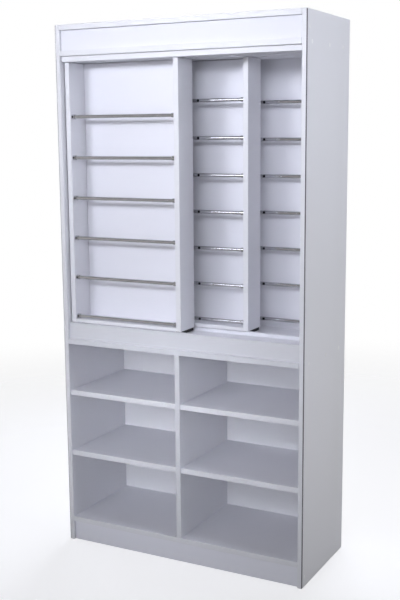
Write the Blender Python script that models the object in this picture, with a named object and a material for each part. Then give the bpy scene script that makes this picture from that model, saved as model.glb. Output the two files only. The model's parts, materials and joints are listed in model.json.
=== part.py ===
"""Shop display unit in white board: open shelves below, rod racks above.

Two rod trays slide sideways on rollers in front of a fixed rod rack.
Metres, +Z up. The front faces -Y, the floor is Z = 0 and the origin is the middle of the footprint.
"""

import math

import bmesh
import bpy
from mathutils import Matrix, Vector

# Boards of the cabinet
WIDTH = 0.900
HEIGHT = 1.800
BOARD = 0.018
BACK_BOARD = 0.006
BACK_INSET = 0.008
ARRIS = 0.001
FIT = 0.0003

# Open shelves below the counter
PLINTH_HEIGHT = 0.070
PLINTH_SETBACK = 0.010
COUNTER_TOP = 0.7395
LOW_BAY = 0.229
MIDDLE_BAY = 0.202
SHELF_SETBACK = 0.005

# Header over the trays
FASCIA_HEIGHT = 0.066
FASCIA_SETBACK = 0.010
GUIDE_SETBACK = 0.010

# Three rows of rods, one behind the other
ROW_SETBACK = 0.020
ROW_DEPTH = 0.096
ROW_GAP = 0.007
REAR_ROW_DEPTH = 0.0835
REAR_VOID = 0.0465
REAR_PANEL = 0.009
UPRIGHT_X = 0.135
APRON_SETBACK = 0.010
BEARER_HEIGHT = 0.0255

# Sliding trays
TRAY_WIDTH = 0.434
MIDDLE_TRAY_SHIFT = 0.196
TRAY_END_GAP = 0.004
TRAY_BOTTOM = 0.012
TRAY_BACK = 0.009
TRAY_TOP_GAP = 0.002
APRON_GAP = 0.002
TONGUE_WIDTH = 0.010
TONGUE_REACH = 0.008
TONGUE_CLEAR = 0.001

# Rods with a collar at each end
ROD_RADIUS = 0.006
COLLAR_RADIUS = 0.008
COLLAR_LENGTH = 0.012
ROD_SETBACK = 0.012
ROD_SIDES = 12
ROD_BORE_CLEAR = 0.0005
FRONT_ROD_COUNT = 6
FRONT_ROD_LIFT = 0.0005
FRONT_ROD_HEADROOM = 0.178
MIDDLE_ROD_COUNT = 7
MIDDLE_ROD_LIFT = 0.007
MIDDLE_ROD_HEADROOM = 0.131
REAR_ROD_COUNT = 7
REAR_ROD_LIFT = 0.005
REAR_ROD_HEADROOM = 0.138

# Rollers under the trays, each in a block
ROLLER_RADIUS = 0.0065
ROLLER_HEADROOM = 0.001
ROLLER_CLEAR = 0.001
ROLLER_END_CLEAR = 0.0005
ROLLER_SIDES = 20
AXLE_RADIUS = 0.0025
AXLE_CLEAR = 0.0003
BLOCK_WALL = 0.0012
BLOCK_RIM = 0.008
BLOCK_CHEEK = 0.007
BLOCK_SIDE_GAP = 0.009
BLOCK_INSET = 0.003

# Levels and planes that follow from the sizes above
INNER = WIDTH / 2 - BOARD
SPAN = (-INNER + FIT, INNER - FIT)
ROW_PITCH = ROW_DEPTH + ROW_GAP
DEPTH = ROW_SETBACK + 2 * ROW_PITCH + REAR_ROW_DEPTH + REAR_VOID + BACK_BOARD + BACK_INSET
FRONT = -DEPTH / 2
BACK_FACE = DEPTH / 2 - BACK_INSET - BACK_BOARD
FRONT_ROW = FRONT + ROW_SETBACK
MIDDLE_ROW = FRONT_ROW + ROW_PITCH
REAR_ROW = MIDDLE_ROW + ROW_PITCH
REAR_FACE = REAR_ROW + REAR_ROW_DEPTH - REAR_PANEL
COUNTER_UNDER = COUNTER_TOP - BOARD
FLOOR_TOP = PLINTH_HEIGHT + BOARD
TOP_UNDER = HEIGHT - BOARD
HEADER_TOP = TOP_UNDER - FASCIA_HEIGHT
HEADER_UNDER = HEADER_TOP - BOARD
GUIDE_UNDER = HEADER_UNDER - BOARD
LANE_UNDER = COUNTER_TOP + BEARER_HEIGHT + FIT
LANE_TOP = LANE_UNDER + BOARD
TRAY_BASE = LANE_TOP + 2 * ROLLER_RADIUS + ROLLER_HEADROOM
TRAY_TOP = GUIDE_UNDER - TRAY_TOP_GAP
APRON_TOP = TRAY_BASE - APRON_GAP
FRONT_TRAY_X = -INNER + TRAY_END_GAP
MIDDLE_TRAY_X = FRONT_TRAY_X + MIDDLE_TRAY_SHIFT
SMOOTH_ANGLE = math.radians(40)


def clear_scene():
    for obj in list(bpy.data.objects):
        bpy.data.objects.remove(obj, do_unlink=True)


def make_finish(name, colour, roughness, metallic=0.0):
    """A plain surface finish."""
    material = bpy.data.materials.new(name)
    material.use_nodes = True
    shader = material.node_tree.nodes["Principled BSDF"]
    shader.inputs["Base Color"].default_value = (*colour, 1.0)
    shader.inputs["Roughness"].default_value = roughness
    shader.inputs["Metallic"].default_value = metallic
    return material


def add_piece(name, bm, place, finish, parent=None):
    """Put a modelled shape into the scene as one named object, its own origin at its place."""
    bmesh.ops.recalc_face_normals(bm, faces=bm.faces)
    mesh = bpy.data.meshes.new(name)
    bm.to_mesh(mesh)
    bm.free()
    mesh.materials.append(finish)
    obj = bpy.data.objects.new(name, mesh)
    bpy.context.collection.objects.link(obj)
    obj.location = Vector(place)
    if parent:
        obj.parent = parent
        obj.location -= parent.location
    return obj


def break_edges(bm):
    """Take the sharp arris off every edge of a board."""
    bmesh.ops.bevel(bm, geom=bm.edges[:], offset=ARRIS, offset_type="OFFSET", segments=1,
                    profile=0.5, affect="EDGES", clamp_overlap=True, material=-1)


def middle_of(low_high):
    return (low_high[0] + low_high[1]) / 2


def add_board(name, x, y, z, finish, parent=None):
    """A flat board that fills a range on each axis."""
    bm = bmesh.new()
    size = [high - low for low, high in (x, y, z)]
    bmesh.ops.create_cube(bm, size=1.0, matrix=Matrix.Diagonal((*size, 1.0)))
    break_edges(bm)
    return add_piece(name, bm, [middle_of(r) for r in (x, y, z)], finish, parent)


def add_profiled_board(name, x, outline, finish, parent=None):
    """A board of one outline, given as (Y, Z) points, drawn out over a range of X."""
    place = (middle_of(x), *outline[0])
    bm = bmesh.new()
    corners = [bm.verts.new((x[0] - place[0], y - place[1], z - place[2])) for y, z in outline]
    drawn = bmesh.ops.extrude_face_region(bm, geom=[bm.faces.new(corners)])
    far_side = [v for v in drawn["geom"] if isinstance(v, bmesh.types.BMVert)]
    bmesh.ops.translate(bm, vec=(x[1] - x[0], 0.0, 0.0), verts=far_side)
    bmesh.ops.recalc_face_normals(bm, faces=bm.faces)
    break_edges(bm)
    return add_piece(name, bm, place, finish, parent)


def turn_profile(stations, sides, along="X"):
    """A round shape from (distance along its axis, radius) stations, closed at both ends."""
    bm = bmesh.new()
    ends = [(stations[0][0], 0.0), *stations, (stations[-1][0], 0.0)]
    points = [bm.verts.new((distance, 0.0, radius)) for distance, radius in ends]
    edges = [bm.edges.new(pair) for pair in zip(points, points[1:])]
    bmesh.ops.spin(bm, geom=points + edges, cent=(0.0, 0.0, 0.0), axis=(1.0, 0.0, 0.0),
                   angle=math.tau, steps=sides, use_merge=True)
    bmesh.ops.remove_doubles(bm, verts=bm.verts, dist=1e-6)
    if along == "Y":
        bmesh.ops.rotate(bm, verts=bm.verts, matrix=Matrix.Rotation(math.pi / 2, 3, "Z"))
    return bm


def add_round_piece(name, stations, sides, place, finish, parent=None, along="X"):
    obj = add_piece(name, turn_profile(stations, sides, along), place, finish, parent)
    obj.data.shade_smooth()
    obj.data.set_sharp_from_angle(angle=SMOOTH_ANGLE)
    return obj


def cut_away(obj, cutter):
    """Cut a hidden shape out of a piece."""
    cutter.hide_render = True
    cutter.display_type = "WIRE"
    modifier = obj.modifiers.new(cutter.name, "BOOLEAN")
    modifier.operation = "DIFFERENCE"
    modifier.solver = "EXACT"
    modifier.object = cutter


def rod_heights(base, lift, headroom, count):
    """Rod axes spaced evenly from just above a tray's bottom board up to the headroom."""
    low = base + COLLAR_RADIUS + lift
    step = (TRAY_TOP - headroom - low) / (count - 1)
    return [low + index * step for index in range(count)]


def rod_stations(ends, walls):
    """A rod between two walls, with a collar at each end and on both faces of what it passes through."""
    seats = [ends[0]]
    for near, far in walls:
        seats += [near - FIT - COLLAR_LENGTH, far + FIT]
    seats.append(ends[1] - COLLAR_LENGTH)
    stations = []
    for seat in seats:
        stations += [(seat, ROD_RADIUS), (seat, COLLAR_RADIUS)]
        stations += [(seat + COLLAR_LENGTH, COLLAR_RADIUS), (seat + COLLAR_LENGTH, ROD_RADIUS)]
    return stations[1:-1]


def add_rods(prefix, ends, row, heights, chrome, parent=None, walls=()):
    """One row of level rods, counted from the lowest."""
    middle = middle_of(ends)
    stations = [(x - middle, radius) for x, radius in rod_stations(ends, walls)]
    for number, height in enumerate(heights, start=1):
        place = (middle, row + ROD_SETBACK, height)
        add_round_piece(f"{prefix}_rod_{number}", stations, ROD_SIDES, place, chrome, parent)


def groove(row):
    """Outline of the groove over a row, as (Y, Z) points from front to back."""
    middle = row + ROW_DEPTH / 2
    half = TONGUE_WIDTH / 2 + TONGUE_CLEAR
    roof = GUIDE_UNDER + TONGUE_REACH + TONGUE_CLEAR
    return [(middle - half, GUIDE_UNDER), (middle - half, roof),
            (middle + half, roof), (middle + half, GUIDE_UNDER)]


def make_shell(white):
    """Side panels, top, back and the boards between the sides."""
    full_depth = (FRONT, DEPTH / 2)
    to_back = (FRONT, BACK_FACE - FIT)
    add_board("left_side_panel", (-WIDTH / 2, -INNER), full_depth, (0.0, HEIGHT), white)
    add_board("right_side_panel", (INNER, WIDTH / 2), full_depth, (0.0, HEIGHT), white)
    add_board("top_panel", SPAN, full_depth, (TOP_UNDER, HEIGHT), white)
    add_board("counter_board", SPAN, to_back, (COUNTER_UNDER, COUNTER_TOP), white)
    add_board("bottom_board", SPAN, to_back, (PLINTH_HEIGHT, FLOOR_TOP), white)
    plinth_front = FRONT + PLINTH_SETBACK
    add_board("plinth_board", SPAN, (plinth_front, plinth_front + BOARD), (0.0, PLINTH_HEIGHT - FIT), white)
    add_board("back_panel", SPAN, (BACK_FACE, BACK_FACE + BACK_BOARD), (PLINTH_HEIGHT, TOP_UNDER - FIT), white)


def make_header(white):
    """Fascia and shelf over the trays, and the grooved board that guides their tops."""
    fascia_front = FRONT + FASCIA_SETBACK
    add_board("fascia_panel", SPAN, (fascia_front, fascia_front + BOARD),
              (HEADER_TOP + FIT, TOP_UNDER - FIT), white)
    add_board("header_shelf", SPAN, (FRONT, BACK_FACE - FIT), (HEADER_UNDER, HEADER_TOP), white)
    guide_front = FRONT + GUIDE_SETBACK
    guide_back = REAR_FACE - FIT
    outline = [(guide_front, HEADER_UNDER - FIT), (guide_front, GUIDE_UNDER)]
    outline += groove(FRONT_ROW) + groove(MIDDLE_ROW)
    outline += [(guide_back, GUIDE_UNDER), (guide_back, HEADER_UNDER - FIT)]
    add_profiled_board("top_guide_board", SPAN, outline, white)


def make_shelves(white):
    """Centre divider and two shelves on each side of it."""
    deep = (FRONT, BACK_FACE - FIT)
    shelf_deep = (FRONT + SHELF_SETBACK, BACK_FACE - FIT)
    add_board("centre_divider", (-BOARD / 2, BOARD / 2), deep, (FLOOR_TOP + FIT, COUNTER_UNDER - FIT), white)
    left = (-INNER + FIT, -BOARD / 2 - FIT)
    right = (BOARD / 2 + FIT, INNER - FIT)
    lower = FLOOR_TOP + LOW_BAY
    upper = lower + BOARD + MIDDLE_BAY
    for side, reach in (("left", left), ("right", right)):
        for level, height in (("lower", lower), ("upper", upper)):
            add_board(f"shelf_{side}_{level}", reach, shelf_deep, (height, height + BOARD), white)


def make_lanes(white):
    """Raised floor that the trays roll on, its bearers, and the lip in front of each lane."""
    apron_front = FRONT + APRON_SETBACK
    add_board("lane_apron", SPAN, (apron_front, apron_front + BOARD), (COUNTER_TOP + FIT, APRON_TOP), white)
    lane_front = apron_front + BOARD + FIT
    lane_back = BACK_FACE - FIT
    add_board("lane_floor", SPAN, (lane_front, lane_back), (LANE_UNDER, LANE_TOP), white)
    add_board("lane_batten", SPAN, (MIDDLE_ROW, MIDDLE_ROW + BOARD), (LANE_TOP + FIT, APRON_TOP), white)
    bearer_height = (COUNTER_TOP + FIT, LANE_UNDER - FIT)
    add_board("lane_bearer_front", SPAN, (lane_front, lane_front + BOARD), bearer_height, white)
    add_board("lane_bearer_rear", SPAN, (lane_back - BOARD, lane_back), bearer_height, white)


def make_rear_rack(white, chrome, heights):
    """Fixed rack behind the trays: a panel, two uprights and rods right across."""
    standing = LANE_TOP + FIT
    add_board("rear_rack_panel", SPAN, (REAR_FACE, REAR_FACE + REAR_PANEL),
              (standing, HEADER_UNDER - FIT), white)
    walls = [(-UPRIGHT_X - BOARD, -UPRIGHT_X), (UPRIGHT_X, UPRIGHT_X + BOARD)]
    bore = [(-BOARD, ROD_RADIUS + ROD_BORE_CLEAR), (BOARD, ROD_RADIUS + ROD_BORE_CLEAR)]
    for side, wall in zip(("left", "right"), walls):
        upright = add_board(f"rear_upright_{side}", wall, (REAR_ROW, REAR_FACE - FIT),
                            (standing, GUIDE_UNDER - FIT), white)
        for number, height in enumerate(heights, start=1):
            place = (middle_of(wall), REAR_ROW + ROD_SETBACK, height)
            cut_away(upright, add_round_piece(f"bore_{side}_{number}", bore, ROD_SIDES, place, white))
    add_rods("rear", SPAN, REAR_ROW, heights, chrome, walls=walls)


def add_roller(tray, side, x, row, black, rubber, parent):
    """A block under one end of a tray, with a wide roller turning in it."""
    lip_gap = ROW_PITCH - BOARD
    depth = lip_gap - 2 * BLOCK_SIDE_GAP
    window = depth - 2 * BLOCK_CHEEK
    roller_half = window / 2 - ROLLER_END_CLEAR
    stub_half = depth / 2 - FIT
    half = ROLLER_RADIUS + ROLLER_CLEAR
    bore = AXLE_RADIUS + AXLE_CLEAR
    axle = Vector((x, row + BOARD + lip_gap / 2, LANE_TOP + FIT + ROLLER_RADIUS))
    floor = axle.z - bore - BLOCK_WALL
    roof = TRAY_BASE - FIT
    block = add_board(f"{tray}_roller_block_{side}", (x - half - BLOCK_RIM, x + half + BLOCK_RIM),
                      (axle.y - depth / 2, axle.y + depth / 2), (floor, roof), black, parent)
    through = (floor - BLOCK_RIM, roof + BLOCK_RIM)
    cut_away(block, add_board(f"{tray}_window_{side}", (x - half, x + half),
                              (axle.y - window / 2, axle.y + window / 2), through, black, parent))
    cut_away(block, add_round_piece(f"{tray}_axle_bore_{side}", [(-depth, bore), (depth, bore)],
                                    ROLLER_SIDES, axle, black, parent, along="Y"))
    stations = [(-stub_half, AXLE_RADIUS), (-roller_half, AXLE_RADIUS), (-roller_half, ROLLER_RADIUS),
                (roller_half, ROLLER_RADIUS), (roller_half, AXLE_RADIUS), (stub_half, AXLE_RADIUS)]
    add_round_piece(f"{tray}_roller_{side}", stations, ROLLER_SIDES, axle, rubber, parent, along="Y")


def make_tray(tray, left, row, heights, white, chrome, black, rubber):
    """A sliding tray: two side boards with tongues on top, bottom, back, rods and rollers."""
    slide = bpy.data.objects.new(f"{tray}_slide", None)
    bpy.context.collection.objects.link(slide)
    slide.location = (left + TRAY_WIDTH / 2, row + ROW_DEPTH / 2, TRAY_BASE)
    back = row + ROW_DEPTH
    middle = row + ROW_DEPTH / 2
    tongue_top = GUIDE_UNDER + TONGUE_REACH
    outline = [(row, TRAY_BASE), (back, TRAY_BASE), (back, TRAY_TOP),
               (middle + TONGUE_WIDTH / 2, TRAY_TOP), (middle + TONGUE_WIDTH / 2, tongue_top),
               (middle - TONGUE_WIDTH / 2, tongue_top), (middle - TONGUE_WIDTH / 2, TRAY_TOP),
               (row, TRAY_TOP)]
    right = left + TRAY_WIDTH
    add_profiled_board(f"{tray}_left_board", (left, left + BOARD), outline, white, slide)
    add_profiled_board(f"{tray}_right_board", (right - BOARD, right), outline, white, slide)
    inside = (left + BOARD + FIT, right - BOARD - FIT)
    add_board(f"{tray}_bottom_board", inside, (row, back - TRAY_BACK - FIT),
              (TRAY_BASE, TRAY_BASE + TRAY_BOTTOM), white, slide)
    add_board(f"{tray}_back_panel", inside, (back - TRAY_BACK, back), (TRAY_BASE, TRAY_TOP), white, slide)
    add_rods(tray, inside, row, heights, chrome, slide)
    reach = BLOCK_INSET + BLOCK_RIM + ROLLER_CLEAR + ROLLER_RADIUS
    for side, x in (("left", left + reach), ("right", right - reach)):
        add_roller(tray, side, x, row, black, rubber, slide)


def main():
    clear_scene()
    white = make_finish("white_board", (0.80, 0.80, 0.83), 0.45)
    chrome = make_finish("chrome", (0.75, 0.75, 0.76), 0.12, 1.0)
    black = make_finish("black_nylon", (0.02, 0.02, 0.02), 0.5)
    rubber = make_finish("black_rubber", (0.015, 0.015, 0.015), 0.7)
    tray_floor = TRAY_BASE + TRAY_BOTTOM
    front_heights = rod_heights(tray_floor, FRONT_ROD_LIFT, FRONT_ROD_HEADROOM, FRONT_ROD_COUNT)
    middle_heights = rod_heights(tray_floor, MIDDLE_ROD_LIFT, MIDDLE_ROD_HEADROOM, MIDDLE_ROD_COUNT)
    rear_heights = rod_heights(tray_floor, REAR_ROD_LIFT, REAR_ROD_HEADROOM, REAR_ROD_COUNT)
    make_shell(white)
    make_header(white)
    make_shelves(white)
    make_lanes(white)
    make_rear_rack(white, chrome, rear_heights)
    make_tray("front_tray", FRONT_TRAY_X, FRONT_ROW, front_heights, white, chrome, black, rubber)
    make_tray("middle_tray", MIDDLE_TRAY_X, MIDDLE_ROW, middle_heights, white, chrome, black, rubber)


main()
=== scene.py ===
"""Finishes the shop display unit: white faced boards, chrome rods, rollers, fixings and a studio stage.

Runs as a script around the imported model. Every piece takes its place from the model's own nodes.
"""

import json
import math

import bmesh
import bpy
from bpy.props import FloatProperty, FloatVectorProperty, IntProperty, PointerProperty
from mathutils import Matrix, Vector


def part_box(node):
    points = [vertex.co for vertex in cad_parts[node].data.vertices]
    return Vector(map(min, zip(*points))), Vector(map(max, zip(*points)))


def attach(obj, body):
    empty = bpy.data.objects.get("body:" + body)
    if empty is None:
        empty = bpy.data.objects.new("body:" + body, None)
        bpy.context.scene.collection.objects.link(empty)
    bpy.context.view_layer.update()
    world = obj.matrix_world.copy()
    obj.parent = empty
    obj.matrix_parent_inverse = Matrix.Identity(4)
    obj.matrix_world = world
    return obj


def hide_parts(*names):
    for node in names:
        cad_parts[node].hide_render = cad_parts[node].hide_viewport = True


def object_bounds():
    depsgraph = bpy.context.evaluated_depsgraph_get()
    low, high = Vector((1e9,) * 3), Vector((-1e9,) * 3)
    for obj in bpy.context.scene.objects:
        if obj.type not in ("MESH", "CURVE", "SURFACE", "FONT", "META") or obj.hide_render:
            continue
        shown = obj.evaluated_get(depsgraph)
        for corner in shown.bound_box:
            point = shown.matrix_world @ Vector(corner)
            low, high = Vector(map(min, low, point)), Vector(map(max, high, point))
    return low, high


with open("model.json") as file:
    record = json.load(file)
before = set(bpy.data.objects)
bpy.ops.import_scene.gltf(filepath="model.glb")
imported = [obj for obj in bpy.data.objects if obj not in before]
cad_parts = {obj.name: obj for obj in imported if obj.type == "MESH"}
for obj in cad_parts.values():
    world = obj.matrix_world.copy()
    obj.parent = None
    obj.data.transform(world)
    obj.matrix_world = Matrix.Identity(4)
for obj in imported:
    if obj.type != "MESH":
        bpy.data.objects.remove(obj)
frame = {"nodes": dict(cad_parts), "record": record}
CAD_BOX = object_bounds()

bl_info = {
    "name": "Shop display unit",
    "version": (1, 0, 0),
    "blender": (4, 5, 0),
    "location": "View3D > Sidebar > Display unit",
    "description": "Finished boards, rods, rollers and fixings of a shop display unit, and a studio stage",
    "category": "Object",
}

BODIES = frame["record"]["behaviour"]["bodies"]
BODY_OF = {node: body for body, nodes in BODIES.items() for node in nodes}
CABINET = "cabinet"
TRAYS = ("front_tray", "middle_tray")

# The sides, and the way along X that each looks outward
SIDES = {"left": -1.0, "right": 1.0}

FORWARD = Vector((0.0, -1.0, 0.0))
BACKWARD = Vector((0.0, 1.0, 0.0))
DOWNWARD = Vector((0.0, 0.0, -1.0))

# Finishes of a board by index, and the boards whose front edge has the darker band of painted shade
BOARD_FINISHES = ("white_board", "edge_band", "edge_seam", "raw_chipboard", "white_lacquer",
                  "low_edge_band")
BAND, SEAM_SHADE, CORE, PAINTED_LIGHT_BACK, SHADED_BAND = 1, 2, 3, 4, 5
SHADED_BANDED = ("counter_board", "centre_divider")
WEAR = "arris_wear"

# Finishes of a rod and of a roller, and the index of a set screw's and an axle stub's finish
ROD_FINISHES = ("chrome", "black_steel")
SET_SCREW = 1
ROLLER_FINISHES = ("black_rubber", "zinc_plate")
STUB = 1

# How closely a face looks along a direction to take its finish: at a front edge, a side and a corner
EDGE_LIMIT, SIDE_LIMIT, CORNER_LIMIT = 0.2, 0.3, 0.85

# A screw head's rim, key and shoulder as shares of its radius, and the sides of its key
RIM_SHARE, KEY_SHARE, SHOULDER_SHARE = 0.86, 0.56, 0.14
HEXAGON, SQUARE = 6, 4
SCREW_STEPS = 24

# A cover cap's outline from its foot to its crown, as shares of its height and radius
CAP_OUTLINE = ((-1.0, 0.8), (0.0, 0.97), (0.3, 1.0), (0.7, 0.9), (1.0, 0.6))

# Turned pieces keep edges over this angle crisp, and points closer than this distance are merged
SHARP_ANGLE = math.radians(35.0)
MERGE_DISTANCE = 1e-6

# Sockets of a Mix node that blends colours
MIX_FACTOR, MIX_FIRST, MIX_SECOND, MIX_RESULT = 0, 6, 7, 2

# Soft lights: name, tint, width and height in m, spread in degrees, place and aim
LIGHTS = (
    ("front", "daylight", 2.0, 2.0, 180.0, (0.2, -3.5, 1.6), (0.0, 0.0, 1.1)),
    ("tray_left", "daylight", 0.9, 0.4, 60.0, (-1.3, -3.2, 2.25), (0.0, 0.0, 1.45)),
    ("glint", "daylight", 0.35, 0.4, 60.0, (-1.43, -3.2, 2.25), (0.0, 0.0, 1.45)),
    ("tray_middle", "daylight", 2.0, 0.4, 60.0, (0.5, -3.6, 2.25), (0.0, 0.0, 1.45)),
    ("tray_right", "daylight", 1.5, 0.3, 60.0, (2.0, -3.3, 2.45), (0.0, 0.0, 1.4)),
    ("tray_far", "daylight", 1.5, 0.4, 60.0, (3.2, -2.4, 2.1), (0.0, 0.0, 1.4)),
    ("header_left", "daylight", 0.8, 0.8, 45.0, (-1.0, -3.2, 2.35), (0.0, 0.0, 1.75)),
    ("header_right", "daylight", 0.8, 0.5, 40.0, (1.4, -3.0, 2.2), (0.2, 0.0, 1.85)),
    ("crown", "daylight", 0.8, 0.8, 100.0, (-0.8, -1.9, 2.4), (0.0, 0.0, 1.65)),
    ("lane", "daylight", 1.0, 0.2, 10.0, (0.2, -0.5, 3.4), (0.15, -0.08, 0.785)),
    ("bays", "daylight", 0.3, 0.3, 24.0, (1.56, -2.96, 1.45), (-0.1, 0.0, 0.42)),
    ("bays_left", "daylight", 0.3, 0.3, 18.0, (1.5, -3.0, 1.4), (-0.25, 0.0, 0.45)),
    ("side", "skylight", 1.0, 1.0, 90.0, (2.6, -0.2, 2.3), (0.4, 0.0, 1.7)),
    ("side_low", "lamplight", 1.0, 0.6, 60.0, (2.8, 0.3, 0.6), (0.4, 0.0, 0.5)),
    ("back", "skylight", 2.0, 2.0, 120.0, (-0.6, 3.2, 2.4), (0.0, 0.2, 1.0)),
    ("left", "skylight", 1.5, 1.5, 120.0, (-3.0, 0.7, 2.2), (-0.45, 0.1, 1.0)),
    ("overhead", "skylight", 1.5, 1.0, 90.0, (0.0, 1.0, 3.6), (0.0, 0.1, 1.8)),
)

# The one light that shows in bright metal
MIRRORED_LIGHT = "glint"
FLOOR_STEPS = 64


# Settings


def length(name, description, default):
    """A length in m."""
    return FloatProperty(name=name, description=description, default=default, min=0.0,
                         subtype="DISTANCE", unit="LENGTH", precision=5)


def colour(name, description, default):
    """A linear colour."""
    return FloatVectorProperty(name=name, description=description, default=default, size=3,
                               min=0.0, max=1.0, subtype="COLOR")


def point(name, description, default):
    """Three distances in m."""
    return FloatVectorProperty(name=name, description=description, default=default, size=3,
                               subtype="XYZ", unit="LENGTH", precision=4)


def power(name, description, default):
    """A lamp's power in W."""
    return FloatProperty(name=name, description=description, default=default, min=0.0, unit="POWER")


def angle(name, description, degrees):
    """An angle, given in degrees."""
    return FloatProperty(name=name, description=description, default=math.radians(degrees),
                         subtype="ANGLE", unit="ROTATION")


def plain_number(name, description, default, low=0.0):
    """A number without a unit, no less than a low."""
    return FloatProperty(name=name, description=description, default=default, min=low)


def whole_number(name, description, default, low, high):
    """A number of steps between a low and a high."""
    return IntProperty(name=name, description=description, default=default, min=low, max=high)


class BoardSettings(bpy.types.PropertyGroup):
    """Sizes and colours of the boards."""

    arris: length("Arris", "Rounding of a board's edges", 0.0012)
    side_arris: length("Side panel arris", "Rounding of the side panels' edges", 0.0028)
    groove_arris: length("Groove arris", "Rounding of the grooved guide board's edges", 0.0006)
    arris_steps: whole_number("Arris steps", "Faces across a rounded edge", 3, 1, 8)
    side_inset: length("Side inset", "How far a side panel's face lies behind its cover caps", 0.0006)
    tongue_width: length("Tongue width", "Width of the tongue on a tray's side board", 0.010)
    tongue_height: length("Tongue height", "Height of that tongue over the board", 0.010)
    groove_clear: length("Groove clearance", "Room round a tongue in its groove", 0.001)
    panel_depth: length("Panel depth", "Boards no deeper than this face forward and have no band", 0.030)
    white: colour("White", "Satin facing of the boards", (0.895, 0.895, 0.905))
    white_low: colour("White, low", "Facing where its tone drifts down", (0.866, 0.866, 0.878))
    band: colour("Edge band", "Band on the boards' front edges", (0.782, 0.782, 0.790))
    # The darker band is painted shade: less light reaches the apron, counter and divider low on the unit
    shaded_band: colour("Shaded edge band", "Darker band on apron, counter and divider, painted shade for the weaker light low down", (0.690, 0.693, 0.705))
    # The back panel's inside is whiter than the facing: painted light in the lower bays
    back_white_painted_light: colour("Back panel white", "Whiter inside of the back panel, painting in light in the lower bays", (0.965, 0.965, 0.970))
    worn: colour("Worn arris", "Facing worn through along the edges", (0.70, 0.69, 0.70))
    core: colour("Core", "Raw chipboard at the back edges", (0.46, 0.36, 0.26))
    core_dark: colour("Core, dark", "Dark flakes in the chipboard", (0.24, 0.17, 0.11))
    # The seam colour is a glue line, darkened further as painted shade of the rounded corner
    seam: colour("Seam", "Glue line darkened with painted shade along the side panels' front corners", (0.085, 0.075, 0.085))


class RodSettings(bpy.types.PropertyGroup):
    """Sizes and colours of the rods and their collars."""

    radius: length("Rod radius", "Radius of a rod", 0.006)
    collar_radius: length("Collar radius", "Radius of a collar", 0.008)
    collar_length: length("Collar length", "Length of a collar", 0.012)
    wall_clear: length("Wall clearance", "Gap between a collar and the board it stands against", 0.0003)
    collar_arris: length("Collar arris", "Chamfer of a collar's edges", 0.0007)
    screw_radius: length("Set screw radius", "Radius of a collar's set screw", 0.0033)
    # Shade screws are black set screws whose dark spots stand in for a dark reflection on the rods
    shade_screw_radius: length("Shade screw radius", "Radius of the black set screw that stands in for a dark reflection", 0.0044)
    screw_depth: length("Set screw depth", "Height of a set screw's head", 0.0030)
    screw_stand: length("Set screw stand", "How far a set screw stands out of its collar or rod", 0.0010)
    screw_recess: length("Set screw recess", "Depth of the recess for its key", 0.0007)
    middle_shade_screw: length("Middle shade screw", "From a middle rod's shade screw to its right end", 0.165)
    rear_shade_screw: length("Rear shade screw", "From a rear rod's shade screw to its right end", 0.223)
    steps: whole_number("Steps", "Faces round a rod", 48, 12, 96)
    chrome: colour("Chrome", "Bright plate on rods and collars", (0.555, 0.556, 0.575))
    black_steel: colour("Black steel", "Oxide finish of the set screws", (0.010, 0.010, 0.011))


class RollerSettings(bpy.types.PropertyGroup):
    """Sizes and colours of the rollers and their blocks."""

    rib_depth: length("Rib depth", "Depth of the grooves in a roller's tread", 0.0004)
    rib_pitch: length("Rib pitch", "Distance between those grooves", 0.006)
    axle_radius: length("Axle radius", "Radius of the stubs that a roller turns on", 0.0025)
    end_clear: length("End clearance", "How far a roller's body stays short of its stubs' ends", 0.0072)
    steps: whole_number("Steps", "Faces round a roller", 64, 16, 128)
    nylon: colour("Nylon", "Moulded black blocks", (0.018, 0.018, 0.019))
    rubber: colour("Rubber", "Tread of the rollers", (0.012, 0.012, 0.012))


class FixingSettings(bpy.types.PropertyGroup):
    """Sizes and colours of the cover caps and back screws."""

    cap_radius: length("Cap radius", "Radius of a cover cap", 0.0065)
    cap_setbacks: point("Cap setbacks", "Caps along a board's end, from the front", (0.040, 0.187, 0.307))
    screw_radius: length("Back screw radius", "Radius of a back screw's head", 0.0036)
    screw_height: length("Back screw height", "Height of a back screw's head", 0.0022)
    screw_recess: length("Back screw recess", "Depth of the recess for its driver", 0.0015)
    screw_edge: length("Back screw edge", "Distance of the back screws from the panel's edge", 0.010)
    screw_pitch: length("Back screw pitch", "Greatest distance between back screws", 0.170)
    cap: colour("Cap", "Moulded white cover caps", (0.88, 0.88, 0.89))
    zinc: colour("Zinc", "Plated back screws and axle stubs", (0.62, 0.62, 0.60))


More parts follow.
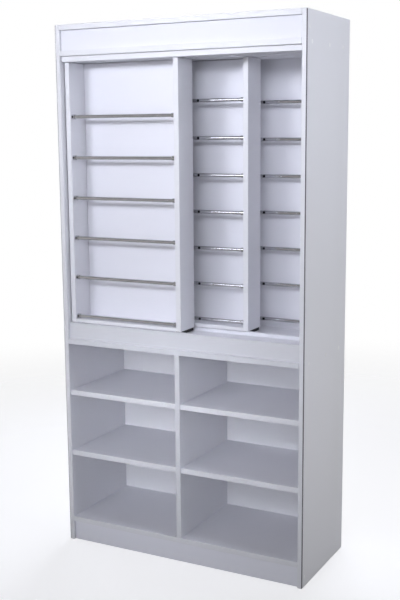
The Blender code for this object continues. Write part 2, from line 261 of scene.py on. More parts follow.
class StageSettings(bpy.types.PropertyGroup):
    """Floor, lights and camera."""

    floor_radius: length("Floor radius", "How far the floor reaches", 4.0)
    floor: colour("Floor", "Pale studio floor", (0.44, 0.44, 0.445))
    floor_glow: colour("Floor glow", "Light added to the floor for the camera", (0.62, 0.62, 0.63))
    camera_place: point("Camera place", "Where the camera stands", (1.5562, -2.955, 1.4426))
    camera_yaw: angle("Camera yaw", "Turn of the camera to the left", 27.912)
    camera_pitch: angle("Camera pitch", "Tilt of the camera down", 9.579)
    camera_roll: angle("Camera roll", "Roll of the camera", -0.47)
    lens: plain_number("Lens", "Focal length in mm", 59.328, low=1.0)
    sensor: plain_number("Sensor", "Width of the camera's sensor in mm", 36.0, low=1.0)
    front_power: power("Front power", "Power of the large soft light in front", 23.00)
    tray_left_power: power("Tray left power", "Power of the left strip light on the trays", 2.90)
    glint_power: power("Glint power", "Power of the narrow strip light that the rods mirror", 0.85)
    tray_middle_power: power("Tray middle power", "Power of the middle strip light on the trays", 2.80)
    tray_right_power: power("Tray right power", "Power of the right strip light on the trays", 1.10)
    tray_far_power: power("Tray far power", "Power of the strip light far to the right", 0.58)
    header_left_power: power("Header left power", "Power of the left light on the header", 1.40)
    header_right_power: power("Header right power", "Power of the right light on the header", 1.10)
    crown_power: power("Crown power", "Power of the light close over the front", 0.80)
    lane_power: power("Lane power", "Power of the narrow light down on the lanes", 0.13)
    bays_power: power("Bays power", "Power of the narrow light on all lower bays", 0.30)
    bays_left_power: power("Bays left power", "Power of the narrow light on the left lower bays", 0.27)
    side_power: power("Side power", "Power of the high light on the right side", 8.6)
    side_low_power: power("Side low power", "Power of the low light on the right side", 1.4)
    back_power: power("Back power", "Power of the soft light behind", 34.0)
    left_power: power("Left power", "Power of the soft light on the left side", 14.0)
    overhead_power: power("Overhead power", "Power of the soft light on the top", 9.0)
    daylight: colour("Daylight", "Tint of the lights in front", (0.848, 0.875, 1.0))
    skylight: colour("Skylight", "Tint of the lights above, behind and at the sides", (0.89, 0.922, 1.0))
    lamplight: colour("Lamplight", "Tint of the low light on the right", (1.0, 0.992, 0.965))
    room: colour("Room", "Light from the rest of the room", (1.0, 0.975, 0.945))
    room_strength: plain_number("Room strength", "Strength of that light", 0.10)
    mirrored_strength: plain_number("Mirrored strength", "Strength of it in bright metal", 0.32)
    window: FloatVectorProperty(name="Window", description="Where the room is brightest",
                                default=(-0.75, -0.66, 0.0), size=3, subtype="DIRECTION")
    window_strength: plain_number("Window strength", "Light added there", 0.60)
    window_falloff: plain_number("Window falloff", "How fast that light fades to its sides", 10.0)


class UnitSettings(bpy.types.PropertyGroup):
    """All settings of the display unit."""

    boards: PointerProperty(type=BoardSettings)
    rods: PointerProperty(type=RodSettings)
    rollers: PointerProperty(type=RollerSettings)
    fixings: PointerProperty(type=FixingSettings)
    stage: PointerProperty(type=StageSettings)


def settings():
    """The display unit's settings in this scene."""
    return bpy.context.scene.display_unit


# Finishes


def add_node(tree, kind, **inputs):
    """A shader node with values set on its sockets by name."""
    node = tree.nodes.new(kind)
    for name, value in inputs.items():
        node.inputs[name.replace("_", " ")].default_value = value
    return node


def add_ramp(tree, factor, stops):
    """A colour ramp between two (position, colour) stops."""
    ramp = tree.nodes.new("ShaderNodeValToRGB")
    for element, (position, shade) in zip(ramp.color_ramp.elements, stops):
        element.position = position
        element.color = (*shade, 1.0)
    tree.links.new(factor, ramp.inputs["Fac"])
    return ramp.outputs["Color"]


def add_range(tree, value, low, high):
    """Map a value from 0 to 1 onto another range."""
    node = add_node(tree, "ShaderNodeMapRange", To_Min=low, To_Max=high)
    tree.links.new(value, node.inputs["Value"])
    return node.outputs["Result"]


def add_mix(tree, factor, first, second):
    """Blend two colours by a factor."""
    node = tree.nodes.new("ShaderNodeMix")
    node.data_type = "RGBA"
    tree.links.new(factor, node.inputs[MIX_FACTOR])
    tree.links.new(first, node.inputs[MIX_FIRST])
    tree.links.new(second, node.inputs[MIX_SECOND])
    return node.outputs[MIX_RESULT]


def add_noise(tree, place, scale, detail=2.0, roughness=0.5):
    """Soft noise, with about so many features to a metre."""
    node = add_node(tree, "ShaderNodeTexNoise", Scale=scale, Detail=detail, Roughness=roughness)
    tree.links.new(place, node.inputs["Vector"])
    return node.outputs["Fac"]


def add_stretch(tree, place, scale):
    """Coordinates stretched along an axis, for marks that run one way."""
    node = add_node(tree, "ShaderNodeMapping", Scale=scale)
    tree.links.new(place, node.inputs["Vector"])
    return node.outputs["Vector"]


def add_maths(tree, operation, value, other):
    """One sum on a value and a plain number or a second value."""
    node = tree.nodes.new("ShaderNodeMath")
    node.operation = operation
    tree.links.new(value, node.inputs[0])
    if isinstance(other, bpy.types.NodeSocket):
        tree.links.new(other, node.inputs[1])
    else:
        node.inputs[1].default_value = other
    return node.outputs["Value"]


def add_bump(tree, shader, height, distance, strength):
    """Raise a shader's surface by a texture."""
    node = add_node(tree, "ShaderNodeBump", Strength=strength, Distance=distance)
    tree.links.new(height, node.inputs["Height"])
    tree.links.new(node.outputs["Normal"], shader.inputs["Normal"])


def set_surface(tree, shader, shade, roughness):
    """Link a colour and a roughness to a shader."""
    tree.links.new(shade, shader.inputs["Base Color"])
    tree.links.new(roughness, shader.inputs["Roughness"])


def start_finish(name):
    """A new finish: its material, node tree, shader and Object coordinates."""
    material = bpy.data.materials.new(name)
    material.use_nodes = True
    tree = material.node_tree
    place = tree.nodes.new("ShaderNodeTexCoord").outputs["Object"]
    return material, tree, tree.nodes["Principled BSDF"], place


def shade_by(shade, factor):
    """A colour made lighter or darker by a factor."""
    return tuple(channel * factor for channel in shade)


def make_white():
    """Satin white facing: slow drift of tone, faint handling marks, fine pearl and worn edges."""
    boards = settings().boards
    material, tree, shader, place = start_finish("white_board")
    drift = add_noise(tree, place, scale=2.2, detail=3.0)
    tone = add_ramp(tree, drift, [(0.30, boards.white_low), (0.70, boards.white)])
    marks = add_noise(tree, place, scale=34.0, detail=5.0, roughness=0.62)
    marked = add_ramp(tree, marks, [(0.30, shade_by(boards.white_low, 0.965)), (0.46, boards.white)])
    facing = add_mix(tree, add_range(tree, marks, low=0.10, high=0.30), tone, marked)
    wear = tree.nodes.new("ShaderNodeAttribute")
    wear.attribute_name = WEAR
    scuffs = add_noise(tree, place, scale=120.0, detail=4.0, roughness=0.65)
    patches = add_range(tree, scuffs, low=-0.25, high=0.85)
    patchy = add_maths(tree, "MULTIPLY", wear.outputs["Fac"], patches)
    patchy.node.use_clamp = True
    worn = add_ramp(tree, scuffs, [(0.35, boards.worn), (0.65, shade_by(boards.worn, 1.2))])
    shade = add_mix(tree, patchy, facing, worn)
    set_surface(tree, shader, shade, add_range(tree, marks, low=0.34, high=0.50))
    add_bump(tree, shader, add_noise(tree, place, scale=900.0), distance=0.0002, strength=0.10)
    shader.inputs["IOR"].default_value = 1.45
    return material


def make_band(name, band):
    """Edge band on the front edges: smoother than the facing, with faint scraper marks across it."""
    material, tree, shader, place = start_finish(name)
    drift = add_noise(tree, place, scale=5.0, detail=3.0)
    across = add_stretch(tree, place, (1.0, 1.0, 9.0))
    scraped = add_noise(tree, across, scale=60.0, detail=3.0, roughness=0.6)
    tone = add_ramp(tree, drift, [(0.30, shade_by(band, 0.965)), (0.70, band)])
    dull = add_ramp(tree, scraped, [(0.35, shade_by(band, 0.955)), (0.60, band)])
    shade = add_mix(tree, add_range(tree, drift, low=0.25, high=0.55), tone, dull)
    set_surface(tree, shader, shade, add_range(tree, scraped, low=0.28, high=0.42))
    add_bump(tree, shader, scraped, distance=0.0001, strength=0.12)
    return material


def make_painted_light_back():
    """Whiter paint inside the back panel, painted light for the lower bays: fine orange peel and a faint
    drift of tone.
    """
    back_white_painted_light = settings().boards.back_white_painted_light
    material, tree, shader, place = start_finish("white_lacquer")
    drift = add_noise(tree, place, scale=3.0, detail=3.0)
    peel = add_noise(tree, place, scale=520.0, detail=3.0, roughness=0.6)
    shade = add_ramp(tree, drift, [(0.30, shade_by(back_white_painted_light, 0.975)), (0.70, back_white_painted_light)])
    set_surface(tree, shader, shade, add_range(tree, peel, low=0.42, high=0.58))
    add_bump(tree, shader, peel, distance=0.0002, strength=0.15)
    return material


def make_core():
    """Raw chipboard: flakes of light and dark wood."""
    boards = settings().boards
    material, tree, shader, place = start_finish("raw_chipboard")
    flakes = add_node(tree, "ShaderNodeTexVoronoi", Scale=420.0)
    tree.links.new(add_stretch(tree, place, (1.0, 1.0, 0.45)), flakes.inputs["Vector"])
    grain = add_noise(tree, place, scale=260.0, detail=4.0, roughness=0.7)
    flake = add_ramp(tree, flakes.outputs["Distance"], [(0.0, boards.core_dark), (0.55, boards.core)])
    dusty = add_ramp(tree, grain, [(0.35, boards.core_dark), (0.65, shade_by(boards.core, 1.15))])
    shade = add_mix(tree, grain, flake, dusty)
    set_surface(tree, shader, shade, add_range(tree, grain, low=0.72, high=0.92))
    add_bump(tree, shader, grain, distance=0.0004, strength=0.4)
    return material


def make_seam_shade():
    """Dark glue line, darkened further as painted shade of the rounded corner, with some dust in it."""
    seam = settings().boards.seam
    material, tree, shader, place = start_finish("edge_seam")
    along = add_stretch(tree, place, (60.0, 60.0, 9.0))
    dust = add_noise(tree, along, scale=6.0, detail=4.0, roughness=0.6)
    shade = add_ramp(tree, dust, [(0.30, seam), (0.75, shade_by(seam, 1.9))])
    set_surface(tree, shader, shade, add_range(tree, dust, low=0.55, high=0.75))
    return material


def make_chrome():
    """Bright plate drawn along the rod, with faint haze."""
    chrome = settings().rods.chrome
    material, tree, shader, place = start_finish("chrome")
    haze = add_noise(tree, place, scale=60.0, detail=4.0, roughness=0.6)
    drawn = add_noise(tree, add_stretch(tree, place, (6.0, 700.0, 700.0)), scale=1.0)
    shade = add_ramp(tree, haze, [(0.30, shade_by(chrome, 0.90)), (0.70, chrome)])
    set_surface(tree, shader, shade, add_range(tree, haze, low=0.03, high=0.09))
    shader.inputs["Metallic"].default_value = 1.0
    add_bump(tree, shader, drawn, distance=0.00005, strength=0.15)
    return material


def make_black_steel():
    """Black oxide on the set screws."""
    steel = settings().rods.black_steel
    material, tree, shader, place = start_finish("black_steel")
    grain = add_noise(tree, place, scale=900.0, detail=3.0)
    shade = add_ramp(tree, grain, [(0.3, steel), (0.7, shade_by(steel, 2.2))])
    set_surface(tree, shader, shade, add_range(tree, grain, low=0.55, high=0.75))
    shader.inputs["Specular IOR Level"].default_value = 0.2
    return material


def make_moulded(name, plastic, roughness, bump):
    """Moulded plastic or rubber: fine texture, and a little bloom."""
    material, tree, shader, place = start_finish(name)
    bloom = add_noise(tree, place, scale=45.0, detail=4.0, roughness=0.6)
    shade = add_ramp(tree, bloom, [(0.30, shade_by(plastic, 0.85)), (0.75, shade_by(plastic, 1.12))])
    sheen = add_range(tree, bloom, low=roughness - 0.06, high=roughness + 0.08)
    set_surface(tree, shader, shade, sheen)
    add_bump(tree, shader, add_noise(tree, place, scale=1400.0), distance=0.0002, strength=bump)
    return material


def make_zinc():
    """Zinc plate with the dull spangle of hardware screws."""
    zinc = settings().fixings.zinc
    material, tree, shader, place = start_finish("zinc_plate")
    spangle = add_noise(tree, place, scale=700.0, detail=3.0, roughness=0.6)
    shade = add_ramp(tree, spangle, [(0.3, shade_by(zinc, 0.75)), (0.7, zinc)])
    set_surface(tree, shader, shade, add_range(tree, spangle, low=0.28, high=0.48))
    shader.inputs["Metallic"].default_value = 1.0
    return material


def make_floor():
    """Pale studio floor with faint mottling, fading out into the white room."""
    stage = settings().stage
    material, tree, shader, place = start_finish("studio_floor")
    mottle = add_noise(tree, place, scale=1.4, detail=4.0, roughness=0.6)
    shade = add_ramp(tree, mottle, [(0.3, shade_by(stage.floor, 0.985)), (0.7, stage.floor)])
    tree.links.new(shade, shader.inputs["Base Color"])
    shader.inputs["Roughness"].default_value = 0.9
    shader.inputs["Emission Color"].default_value = (*stage.floor_glow, 1.0)
    seen = tree.nodes.new("ShaderNodeLightPath")
    tree.links.new(seen.outputs["Is Camera Ray"], shader.inputs["Emission Strength"])
    fade = tree.nodes.new("ShaderNodeTexGradient")
    fade.gradient_type = "SPHERICAL"
    reach = 1.0 / stage.floor_radius
    tree.links.new(add_stretch(tree, place, (reach, reach, reach)), fade.inputs["Vector"])
    opaque = add_node(tree, "ShaderNodeMapRange", From_Min=0.05, From_Max=0.72)
    opaque.interpolation_type = "SMOOTHSTEP"
    tree.links.new(fade.outputs["Fac"], opaque.inputs["Value"])
    tree.links.new(opaque.outputs["Result"], shader.inputs["Alpha"])
    return material


FINISH_MAKERS = {
    "white_board": make_white,
    "edge_band": lambda: make_band("edge_band", settings().boards.band),
    "low_edge_band": lambda: make_band("low_edge_band", settings().boards.shaded_band),
    "raw_chipboard": make_core,
    "white_lacquer": make_painted_light_back,
    "edge_seam": make_seam_shade,
    "chrome": make_chrome,
    "black_steel": make_black_steel,
    "black_nylon": lambda: make_moulded("black_nylon", settings().rollers.nylon,
                                        roughness=0.42, bump=0.25),
    "black_rubber": lambda: make_moulded("black_rubber", settings().rollers.rubber,
                                         roughness=0.70, bump=0.35),
    "white_cap": lambda: make_moulded("white_cap", settings().fixings.cap,
                                      roughness=0.30, bump=0.06),
    "zinc_plate": make_zinc,
    "studio_floor": make_floor,
}


def finish(name):
    """A finish by name, made the first time it is asked for."""
    return bpy.data.materials.get(name) or FINISH_MAKERS[name]()


# Shapes


def add_piece(name, bm, finishes, body, nodes=()):
    """Put a shape into the scene as a piece that rides on a body and stands for CAD nodes."""
    bmesh.ops.recalc_face_normals(bm, faces=bm.faces)
    mesh = bpy.data.meshes.new(name)
    bm.to_mesh(mesh)
    bm.free()
    for key in finishes:
        mesh.materials.append(finish(key))
    piece = bpy.data.objects.new(name, mesh)
    bpy.context.scene.collection.objects.link(piece)
    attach(piece, body)
    if nodes:
        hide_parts(*nodes)
    return piece


def shade_round(piece):
    """Smooth the round faces of a turned piece and keep its shoulders crisp."""
    piece.data.shade_smooth()
    piece.data.set_sharp_from_angle(angle=SHARP_ANGLE)


def break_arrises(bm, radius):
    """Round every edge of a board, and mark the rounded faces so that they can show wear."""
    wear = bm.faces.layers.float.new(WEAR)
    rounded = bmesh.ops.bevel(bm, geom=bm.edges[:], offset=radius, offset_type="OFFSET",
                              segments=settings().boards.arris_steps, profile=0.5, affect="EDGES",
                              clamp_overlap=True, material=-1)
    for face in rounded["faces"]:
        face[wear] = 1.0


def paint_facing(bm, direction, limit, index):
    """Give faces that look along a direction another of the piece's finishes."""
    bm.normal_update()
    for face in bm.faces:
        if face.normal.dot(direction) > limit:
            face.material_index = index


def board_shape(low, high, radius):
    """A board that fills a box."""
    bm = bmesh.new()
    bmesh.ops.create_cube(bm, size=1.0)
    bmesh.ops.scale(bm, vec=high - low, verts=bm.verts)
    bmesh.ops.translate(bm, vec=(low + high) / 2, verts=bm.verts)
    break_arrises(bm, radius)
    return bm


def outline_shape(outline, x_low, x_high, radius):
    """A board of one (Y, Z) outline, drawn out along X."""
    bm = bmesh.new()
    face = bm.faces.new([bm.verts.new((x_low, y, z)) for y, z in outline])
    drawn = bmesh.ops.extrude_face_region(bm, geom=[face])
    far_side = [part for part in drawn["geom"] if isinstance(part, bmesh.types.BMVert)]
    bmesh.ops.translate(bm, vec=(x_high - x_low, 0.0, 0.0), verts=far_side)
    bmesh.ops.recalc_face_normals(bm, faces=bm.faces)
    break_arrises(bm, radius)
    return bm


def finish_board(node, bm):
    """Band a deep board's front edge, and put it into the scene in place of its node."""
    low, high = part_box(node)
    if high.y - low.y > settings().boards.panel_depth:
        # Counter and divider take the darker band, which paints in their shade
        paint_facing(bm, FORWARD, EDGE_LIMIT, SHADED_BAND if node in SHADED_BANDED else BAND)
    add_piece(f"{node}_finished", bm, BOARD_FINISHES, BODY_OF[node], [node])


def make_board(node, faces=()):
    """A plain board in its node's box, with another finish on the sides given as (direction, finish)."""
    low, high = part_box(node)
    bm = board_shape(low, high, settings().boards.arris)
    for direction, index in faces:
        paint_facing(bm, direction, SIDE_LIMIT, index)
    finish_board(node, bm)


def turned_shape(stations, steps):
    """A round shape along X from (distance, radius) stations, closed at both ends."""
    bm = bmesh.new()
    ends = [(stations[0][0], 0.0), *stations, (stations[-1][0], 0.0)]
    points = [bm.verts.new((distance, 0.0, radius)) for distance, radius in ends]
    edges = [bm.edges.new(pair) for pair in zip(points, points[1:])]
    bmesh.ops.spin(bm, geom=points + edges, cent=(0.0, 0.0, 0.0), axis=(1.0, 0.0, 0.0), angle=math.tau,
                   steps=steps, use_merge=True)
    bmesh.ops.remove_doubles(bm, verts=bm.verts, dist=MERGE_DISTANCE)
    bmesh.ops.recalc_face_normals(bm, faces=bm.faces)
    return bm


def lower_loop(bm, loop, spread, drop, close=True):
    """Draw an edge loop down along Z, spread by a factor, and close it with a floor if asked."""
    drawn = bmesh.ops.extrude_edge_only(bm, edges=loop)["geom"]
    verts = [part for part in drawn if isinstance(part, bmesh.types.BMVert)]
    bmesh.ops.scale(bm, vec=(spread, spread, 1.0), verts=verts)
    bmesh.ops.translate(bm, vec=(0.0, 0.0, drop), verts=verts)
    edges = [part for part in drawn if isinstance(part, bmesh.types.BMEdge)]
    edges = [edge for edge in edges if set(edge.verts) <= set(verts)]
    if close:
        bmesh.ops.contextual_create(bm, geom=edges)
    return edges


def screw_shape(radius, height, recess, sides, facing):
    """A screw head about the origin, with a recess of so many sides for its key. It faces -Y or +Y."""
    bm = bmesh.new()
    rim = bmesh.ops.create_circle(bm, segments=SCREW_STEPS, radius=radius * RIM_SHARE)["verts"]
    rim_edges = list({edge for vert in rim for edge in vert.link_edges})
    key = bmesh.ops.create_circle(bm, segments=sides, radius=radius * KEY_SHARE)["verts"]
    key_edges = list({edge for vert in key for edge in vert.link_edges})
    bmesh.ops.subdivide_edges(bm, edges=key_edges, cuts=SCREW_STEPS // sides - 1)
    key_edges = [edge for edge in bm.edges if edge not in rim_edges]
    bmesh.ops.bridge_loops(bm, edges=rim_edges + key_edges)
    lower_loop(bm, key_edges, 1.0, -recess)
    shoulder = lower_loop(bm, rim_edges, 1.0 / RIM_SHARE, -radius * SHOULDER_SHARE, close=False)
    lower_loop(bm, shoulder, 1.0, -height)
    bmesh.ops.rotate(bm, cent=(0.0, 0.0, 0.0), verts=bm.verts,
                     matrix=Matrix.Rotation(-facing * math.pi / 2, 3, "X"))
    bmesh.ops.recalc_face_normals(bm, faces=bm.faces)
    return bm


def place_copies(bm, shape, places, index=0):
    """Add a copy of a shape to a bmesh at each place, in one of its finishes, and free the shape."""
    pattern = bpy.data.meshes.new("pattern")
    shape.to_mesh(pattern)
    shape.free()
    for place in places:
        before = {*bm.verts, *bm.faces}
        bm.from_mesh(pattern)
        bmesh.ops.translate(bm, vec=place, verts=[vert for vert in bm.verts if vert not in before])
        for face in bm.faces:
            if face not in before:
                face.material_index = index
    bpy.data.meshes.remove(pattern)


# Operators


class DISPLAYUNIT_OT_carcass_boards(bpy.types.Operator):
    """Side panels, top, counter, bottom, plinth, divider and shelves of the cabinet"""

    bl_idname = "display_unit.carcass_boards"
    bl_label = "Carcass boards"

    def execute(self, context):
        for side, outward in SIDES.items():
            self.side_panel(f"{side}_side_panel", outward)
        make_board("top_panel", [(BACKWARD, CORE)])
        for node in ("counter_board", "bottom_board", "plinth_board", "centre_divider"):
            make_board(node)
        for side in SIDES:
            for level in ("lower", "upper"):
                make_board(f"shelf_{side}_{level}")
        return {"FINISHED"}

    def side_panel(self, node, outward):
        """A side panel: banded in front, with a dark glue seam and painted shade at its corner, and raw
        edges behind and below.
        """
        boards = settings().boards
        low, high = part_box(node)
        if outward > 0.0:
            high.x -= boards.side_inset
        else:
            low.x += boards.side_inset
        bm = board_shape(low, high, boards.side_arris)
        paint_facing(bm, FORWARD, EDGE_LIMIT, BAND)
        # The corner's faces take the seam colour: a glue line with painted shade of the rounded corner
        corner = Vector((outward, -1.0, 0.0)).normalized()
        paint_facing(bm, corner, CORNER_LIMIT, SEAM_SHADE)
        paint_facing(bm, BACKWARD, SIDE_LIMIT, CORE)
        paint_facing(bm, DOWNWARD, SIDE_LIMIT, CORE)
        add_piece(f"{node}_finished", bm, BOARD_FINISHES, CABINET, [node])


class DISPLAYUNIT_OT_header_boards(bpy.types.Operator):
    """Fascia, header shelf and the grooved board that guides the trays"""

    bl_idname = "display_unit.header_boards"
    bl_label = "Header boards"

    def execute(self, context):
        make_board("fascia_panel")
        make_board("header_shelf")
        self.guide_board("top_guide_board")
        return {"FINISHED"}

    def guide_board(self, node):
        """A board with a groove over each tray, for the tongues of its side boards."""
        boards = settings().boards
        low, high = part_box(node)
        half = boards.tongue_width / 2 + boards.groove_clear
        outline = [(low.y, low.z)]
        for tray in TRAYS:
            tray_low, tray_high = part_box(f"{tray}_left_board")
            middle = (tray_low.y + tray_high.y) / 2
            roof = tray_high.z + boards.groove_clear
            outline += [(middle - half, low.z), (middle - half, roof), (middle + half, roof),
                        (middle + half, low.z)]
        outline += [(high.y, low.z), (high.y, high.z), (low.y, high.z)]
        finish_board(node, outline_shape(outline, low.x, high.x, boards.groove_arris))


class DISPLAYUNIT_OT_lane_boards(bpy.types.Operator):
    """Apron, lane floor, batten and bearers that the trays run on"""

    bl_idname = "display_unit.lane_boards"
    bl_label = "Lane boards"

    def execute(self, context):
        # The apron's face takes the darker band of painted shade
        make_board("lane_apron", [(FORWARD, SHADED_BAND)])
        for node in ("lane_floor", "lane_batten", "lane_bearer_front", "lane_bearer_rear"):
            make_board(node)
        return {"FINISHED"}


class DISPLAYUNIT_OT_rack_boards(bpy.types.Operator):
    """Back panel, and the panel and uprights of the rear rack"""

    bl_idname = "display_unit.rack_boards"
    bl_label = "Rack and back boards"

    def execute(self, context):
        for node in ("rear_rack_panel", "rear_upright_left", "rear_upright_right"):
            make_board(node)
        # The back panel's inside takes the whiter colour of painted light
        make_board("back_panel", [(BACKWARD, CORE), (FORWARD, PAINTED_LIGHT_BACK)])
        return {"FINISHED"}


class DISPLAYUNIT_OT_tray_boards(bpy.types.Operator):
    """Side boards with tongues, bottoms and backs of both trays"""

    bl_idname = "display_unit.tray_boards"
    bl_label = "Tray boards"

    def execute(self, context):
        for tray in TRAYS:
            for side in SIDES:
                self.side_board(f"{tray}_{side}_board")
            make_board(f"{tray}_bottom_board")
            make_board(f"{tray}_back_panel")
        return {"FINISHED"}

    def side_board(self, node):
        """A side board with a tongue along the middle of its top edge."""
        boards = settings().boards
        low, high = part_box(node)
        front, back = low.y, high.y
        shoulder = high.z - boards.tongue_height
        near = (front + back - boards.tongue_width) / 2
        far = near + boards.tongue_width
        outline = [(front, low.z), (back, low.z), (back, shoulder), (far, shoulder), (far, high.z),
                   (near, high.z), (near, shoulder), (front, shoulder)]
        finish_board(node, outline_shape(outline, low.x, high.x, boards.arris))


class DISPLAYUNIT_OT_rods(bpy.types.Operator):
    """Chrome rods with collars and set screws, in both trays and the rear rack"""

    bl_idname = "display_unit.rods"
    bl_label = "Rods"

    def execute(self, context):
        uprights = [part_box(f"rear_upright_{side}") for side in SIDES]
        walls = [(low.x, high.x) for low, high in uprights]
        for node in frame["nodes"]:
            if "_rod_" in node:
                self.rod(node, walls if node.startswith("rear") else [])
        return {"FINISHED"}

    def rod(self, node, walls):
        """A rod with a collar at its ends and on both sides of the walls that it runs through."""
        rods = settings().rods
        low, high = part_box(node)
        axis = (low + high) / 2
        seats = [low.x]
        for near, far in walls:
            seats += [near - rods.wall_clear - rods.collar_length, far + rods.wall_clear]
        seats.append(high.x - rods.collar_length)
        stations = []
        for seat in seats:
            stations += self.collar(seat)
        bm = turned_shape(stations[1:-1], rods.steps)
        bmesh.ops.translate(bm, vec=(0.0, axis.y, axis.z), verts=bm.verts)
        face = axis.y - rods.collar_radius - rods.screw_stand
        middles = [seat + rods.collar_length / 2 for seat in seats[:-1]]
        self.screws(bm, rods.screw_radius, [(middle, face, axis.z) for middle in middles])
        face = axis.y - rods.radius - rods.screw_stand
        # Black set screws near the visible left ends of middle and rear rods: dark spots standing in for
        # the dark reflection of the gap there
        for row, from_end in (("middle", rods.middle_shade_screw), ("rear", rods.rear_shade_screw)):
            if node.startswith(row):
                self.screws(bm, rods.shade_screw_radius, [(high.x - from_end, face, axis.z)])
        piece = add_piece(f"{node}_finished", bm, ROD_FINISHES, BODY_OF[node], [node])
        shade_round(piece)

    def screws(self, bm, radius, places):
        """Set screws at the places given, facing forward."""
        rods = settings().rods
        screw = screw_shape(radius, rods.screw_depth, rods.screw_recess, HEXAGON, facing=-1.0)
        place_copies(bm, screw, places, SET_SCREW)

    def collar(self, seat):
        """Stations of a chamfered collar that starts at a seat."""
        rods = settings().rods
        end = seat + rods.collar_length
        outer, chamfer = rods.collar_radius, rods.collar_arris
        return [(seat, rods.radius), (seat, outer - chamfer), (seat + chamfer, outer),
                (end - chamfer, outer), (end, outer - chamfer), (end, rods.radius)]


class DISPLAYUNIT_OT_rollers(bpy.types.Operator):
    """Ribbed rollers under the trays, and the finish of their blocks"""

    bl_idname = "display_unit.rollers"
    bl_label = "Rollers"

    def execute(self, context):
        for tray in TRAYS:
            for side in SIDES:
                self.roller(f"{tray}_roller_{side}")
                block = frame["nodes"][f"{tray}_roller_block_{side}"]
                block.material_slots[0].material = finish("black_nylon")
        return {"FINISHED"}

    def roller(self, node):
        """A roller along Y, with a grooved tread and an axle stub at each end."""
        rollers = settings().rollers
        low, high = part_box(node)
        centre = (low + high) / 2
        tread = (high.z - low.z) / 2
        stub = (high.y - low.y) / 2
        body = stub - rollers.end_clear
        groove = tread - rollers.rib_depth
        stations = [(-stub, rollers.axle_radius), (-body, rollers.axle_radius), (-body, groove),
                    (-body + rollers.rib_depth, tread)]
        count = int((2 * body - rollers.rib_pitch) // rollers.rib_pitch)
        first = -(count - 1) * rollers.rib_pitch / 2
        for number in range(count):
            middle = first + number * rollers.rib_pitch
            stations += [(middle - 2 * rollers.rib_depth, tread), (middle - rollers.rib_depth, groove),
                         (middle + rollers.rib_depth, groove), (middle + 2 * rollers.rib_depth, tread)]
        stations += [(body - rollers.rib_depth, tread), (body, groove), (body, rollers.axle_radius),
                     (stub, rollers.axle_radius)]
        bm = turned_shape(stations, rollers.steps)
        for face in bm.faces:
            if abs(face.calc_center_median().x) > body + rollers.rib_depth:
                face.material_index = STUB
        bmesh.ops.rotate(bm, cent=(0.0, 0.0, 0.0), verts=bm.verts,
                         matrix=Matrix.Rotation(math.pi / 2, 3, "Z"))
        bmesh.ops.translate(bm, vec=centre, verts=bm.verts)
        piece = add_piece(f"{node}_finished", bm, ROLLER_FINISHES, BODY_OF[node], [node])
        shade_round(piece)


class DISPLAYUNIT_OT_fixings(bpy.types.Operator):
    """Cover caps on the side panels and screws in the back panel"""

    bl_idname = "display_unit.fixings"
    bl_label = "Cover caps and back screws"

    def execute(self, context):
        for side, outward in SIDES.items():
            self.cover_caps(side, outward)
        self.back_screws()
        return {"FINISHED"}

    def cap_places(self):
        """(Y, Z) of the caps: along the ends of counter and header shelf, one at fascia and plinth."""
        setbacks = settings().fixings.cap_setbacks
        front = CAD_BOX[0].y
        places = []
        for node in ("counter_board", "header_shelf"):
            low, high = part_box(node)
            places += [(front + setback, (low.z + high.z) / 2) for setback in setbacks]
        for node in ("fascia_panel", "plinth_board"):
            low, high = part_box(node)
            places.append(((low.y + high.y) / 2, (low.z + high.z) / 2))
        return places

    def cover_caps(self, side, outward):
        """Low domed caps on the outside of a side panel."""
        low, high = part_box(f"{side}_side_panel")
        height = settings().boards.side_inset
        radius = settings().fixings.cap_radius
        seat = (high.x if outward > 0.0 else low.x) - outward * height
        dome = [(height * rise * outward, radius * reach) for rise, reach in CAP_OUTLINE]
        places = [(seat, y, z) for y, z in self.cap_places()]
        bm = bmesh.new()
        place_copies(bm, turned_shape(dome, SCREW_STEPS), places)
        shade_round(add_piece(f"cover_caps_{side}", bm, ("white_cap",), CABINET))

    def back_screws(self):
        """A row of screws through the back panel into each board that it is fixed to."""
        fixings = settings().fixings
        low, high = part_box("back_panel")
        first = low.x + fixings.screw_edge
        width = high.x - low.x - 2 * fixings.screw_edge
        count = math.ceil(width / fixings.screw_pitch)
        step = width / count
        face = high.y + fixings.screw_height
        places = []
        for node in ("bottom_board", "counter_board", "header_shelf"):
            board_low, board_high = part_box(node)
            height = (board_low.z + board_high.z) / 2
            places += [(first + number * step, face, height) for number in range(count + 1)]
        screw = screw_shape(fixings.screw_radius, fixings.screw_height, fixings.screw_recess,
                            SQUARE, facing=1.0)
        bm = bmesh.new()
        place_copies(bm, screw, places)
        add_piece("back_screws", bm, ("zinc_plate",), CABINET)


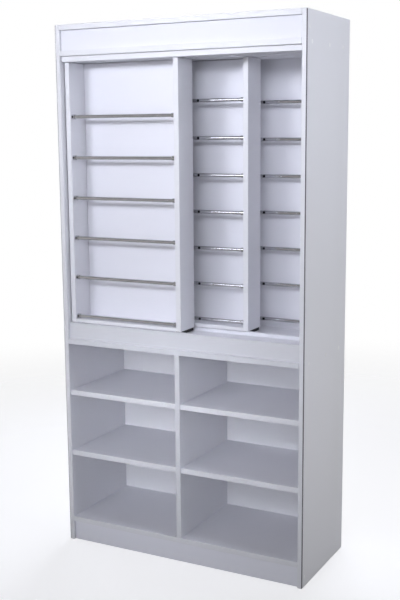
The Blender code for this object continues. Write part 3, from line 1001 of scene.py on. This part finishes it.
class DISPLAYUNIT_OT_stage(bpy.types.Operator):
    """Floor, lights, room light and camera"""

    bl_idname = "display_unit.stage"
    bl_label = "Studio stage"

    def execute(self, context):
        stage = settings().stage
        self.floor(context, stage)
        for light in LIGHTS:
            self.light(context, stage, *light)
        self.room(context, stage)
        self.camera(context, stage)
        return {"FINISHED"}

    def floor(self, context, stage):
        """A round floor that bright metal doesn't mirror."""
        bm = bmesh.new()
        bmesh.ops.create_circle(bm, cap_ends=True, segments=FLOOR_STEPS, radius=stage.floor_radius)
        mesh = bpy.data.meshes.new("studio_floor")
        bm.to_mesh(mesh)
        bm.free()
        mesh.materials.append(finish("studio_floor"))
        floor = bpy.data.objects.new("studio_floor", mesh)
        context.scene.collection.objects.link(floor)
        floor.visible_glossy = False

    def light(self, context, stage, name, tint, width, height, spread, place, aim):
        """One soft light from the table of lights."""
        data = bpy.data.lights.new(f"{name}_light", "AREA")
        data.shape = "RECTANGLE"
        data.size = width
        data.size_y = height
        data.spread = math.radians(spread)
        data.energy = getattr(stage, f"{name}_power")
        data.color = getattr(stage, tint)
        lamp = bpy.data.objects.new(f"{name}_light", data)
        lamp.location = place
        lamp.rotation_euler = (Vector(aim) - Vector(place)).to_track_quat("-Z", "Y").to_euler()
        lamp.visible_glossy = name == MIRRORED_LIGHT
        context.scene.collection.objects.link(lamp)

    def room(self, context, stage):
        """Dim light from all round with a brighter window in it, and a white ground for the camera."""
        world = bpy.data.worlds.new("studio_room")
        world.use_nodes = True
        tree = world.node_tree
        light = tree.nodes["Background"]
        light.inputs["Color"].default_value = (*stage.room, 1.0)
        toward = add_maths(tree, "MAXIMUM", self.along(tree, stage.window), 0.0)
        window = add_maths(tree, "POWER", toward, stage.window_falloff)
        window = add_maths(tree, "MULTIPLY", window, stage.window_strength)
        seen = tree.nodes.new("ShaderNodeLightPath")
        rest = add_range(tree, seen.outputs["Is Glossy Ray"], stage.room_strength, stage.mirrored_strength)
        tree.links.new(add_maths(tree, "ADD", window, rest), light.inputs["Strength"])
        paper = add_node(tree, "ShaderNodeBackground", Color=(1.0, 1.0, 1.0, 1.0), Strength=1.0)
        mix = tree.nodes.new("ShaderNodeMixShader")
        tree.links.new(seen.outputs["Is Camera Ray"], mix.inputs[0])
        tree.links.new(light.outputs["Background"], mix.inputs[1])
        tree.links.new(paper.outputs["Background"], mix.inputs[2])
        tree.links.new(mix.outputs["Shader"], tree.nodes["World Output"].inputs["Surface"])
        context.scene.world = world
        context.scene.view_settings.view_transform = "Standard"

    def along(self, tree, direction):
        """How far each way out into the room lies along a direction."""
        ways = tree.nodes.new("ShaderNodeTexCoord")
        product = tree.nodes.new("ShaderNodeVectorMath")
        product.operation = "DOT_PRODUCT"
        tree.links.new(ways.outputs["Generated"], product.inputs[0])
        product.inputs[1].default_value = direction
        return product.outputs["Value"]

    def camera(self, context, stage):
        """The camera, turned by its yaw, pitch and roll."""
        yaw, pitch, roll = stage.camera_yaw, stage.camera_pitch, stage.camera_roll
        reach = math.cos(pitch)
        ahead = Vector((-math.sin(yaw) * reach, math.cos(yaw) * reach, -math.sin(pitch)))
        level = Vector((math.cos(yaw), math.sin(yaw), 0.0))
        upright = level.cross(ahead)
        right = math.cos(roll) * level + math.sin(roll) * upright
        up = math.cos(roll) * upright - math.sin(roll) * level
        data = bpy.data.cameras.new("camera")
        data.lens = stage.lens
        data.sensor_width = stage.sensor
        camera = bpy.data.objects.new("camera", data)
        facing = Matrix((right, up, -ahead)).transposed().to_4x4()
        camera.matrix_world = Matrix.Translation(stage.camera_place) @ facing
        context.scene.collection.objects.link(camera)
        context.scene.camera = camera


OPERATORS = (DISPLAYUNIT_OT_carcass_boards, DISPLAYUNIT_OT_header_boards, DISPLAYUNIT_OT_lane_boards,
             DISPLAYUNIT_OT_rack_boards, DISPLAYUNIT_OT_tray_boards, DISPLAYUNIT_OT_rods,
             DISPLAYUNIT_OT_rollers, DISPLAYUNIT_OT_fixings, DISPLAYUNIT_OT_stage)


class DISPLAYUNIT_PT_sidebar(bpy.types.Panel):
    """Lists the pieces of the display unit"""

    bl_idname = "DISPLAYUNIT_PT_sidebar"
    bl_label = "Display unit"
    bl_space_type = "VIEW_3D"
    bl_region_type = "UI"
    bl_category = "Display unit"

    def draw(self, context):
        for operator in OPERATORS:
            self.layout.operator(operator.bl_idname)


CLASSES = (BoardSettings, RodSettings, RollerSettings, FixingSettings, StageSettings, UnitSettings,
           *OPERATORS, DISPLAYUNIT_PT_sidebar)


def register():
    for cls in CLASSES:
        bpy.utils.register_class(cls)
    bpy.types.Scene.display_unit = PointerProperty(type=UnitSettings)


def unregister():
    del bpy.types.Scene.display_unit
    for cls in reversed(CLASSES):
        bpy.utils.unregister_class(cls)


def main():
    register()
    bpy.ops.display_unit.carcass_boards()
    bpy.ops.display_unit.header_boards()
    bpy.ops.display_unit.lane_boards()
    bpy.ops.display_unit.rack_boards()
    bpy.ops.display_unit.tray_boards()
    bpy.ops.display_unit.rods()
    bpy.ops.display_unit.rollers()
    bpy.ops.display_unit.fixings()
    bpy.ops.display_unit.stage()


if __name__ == "__main__":
    main()
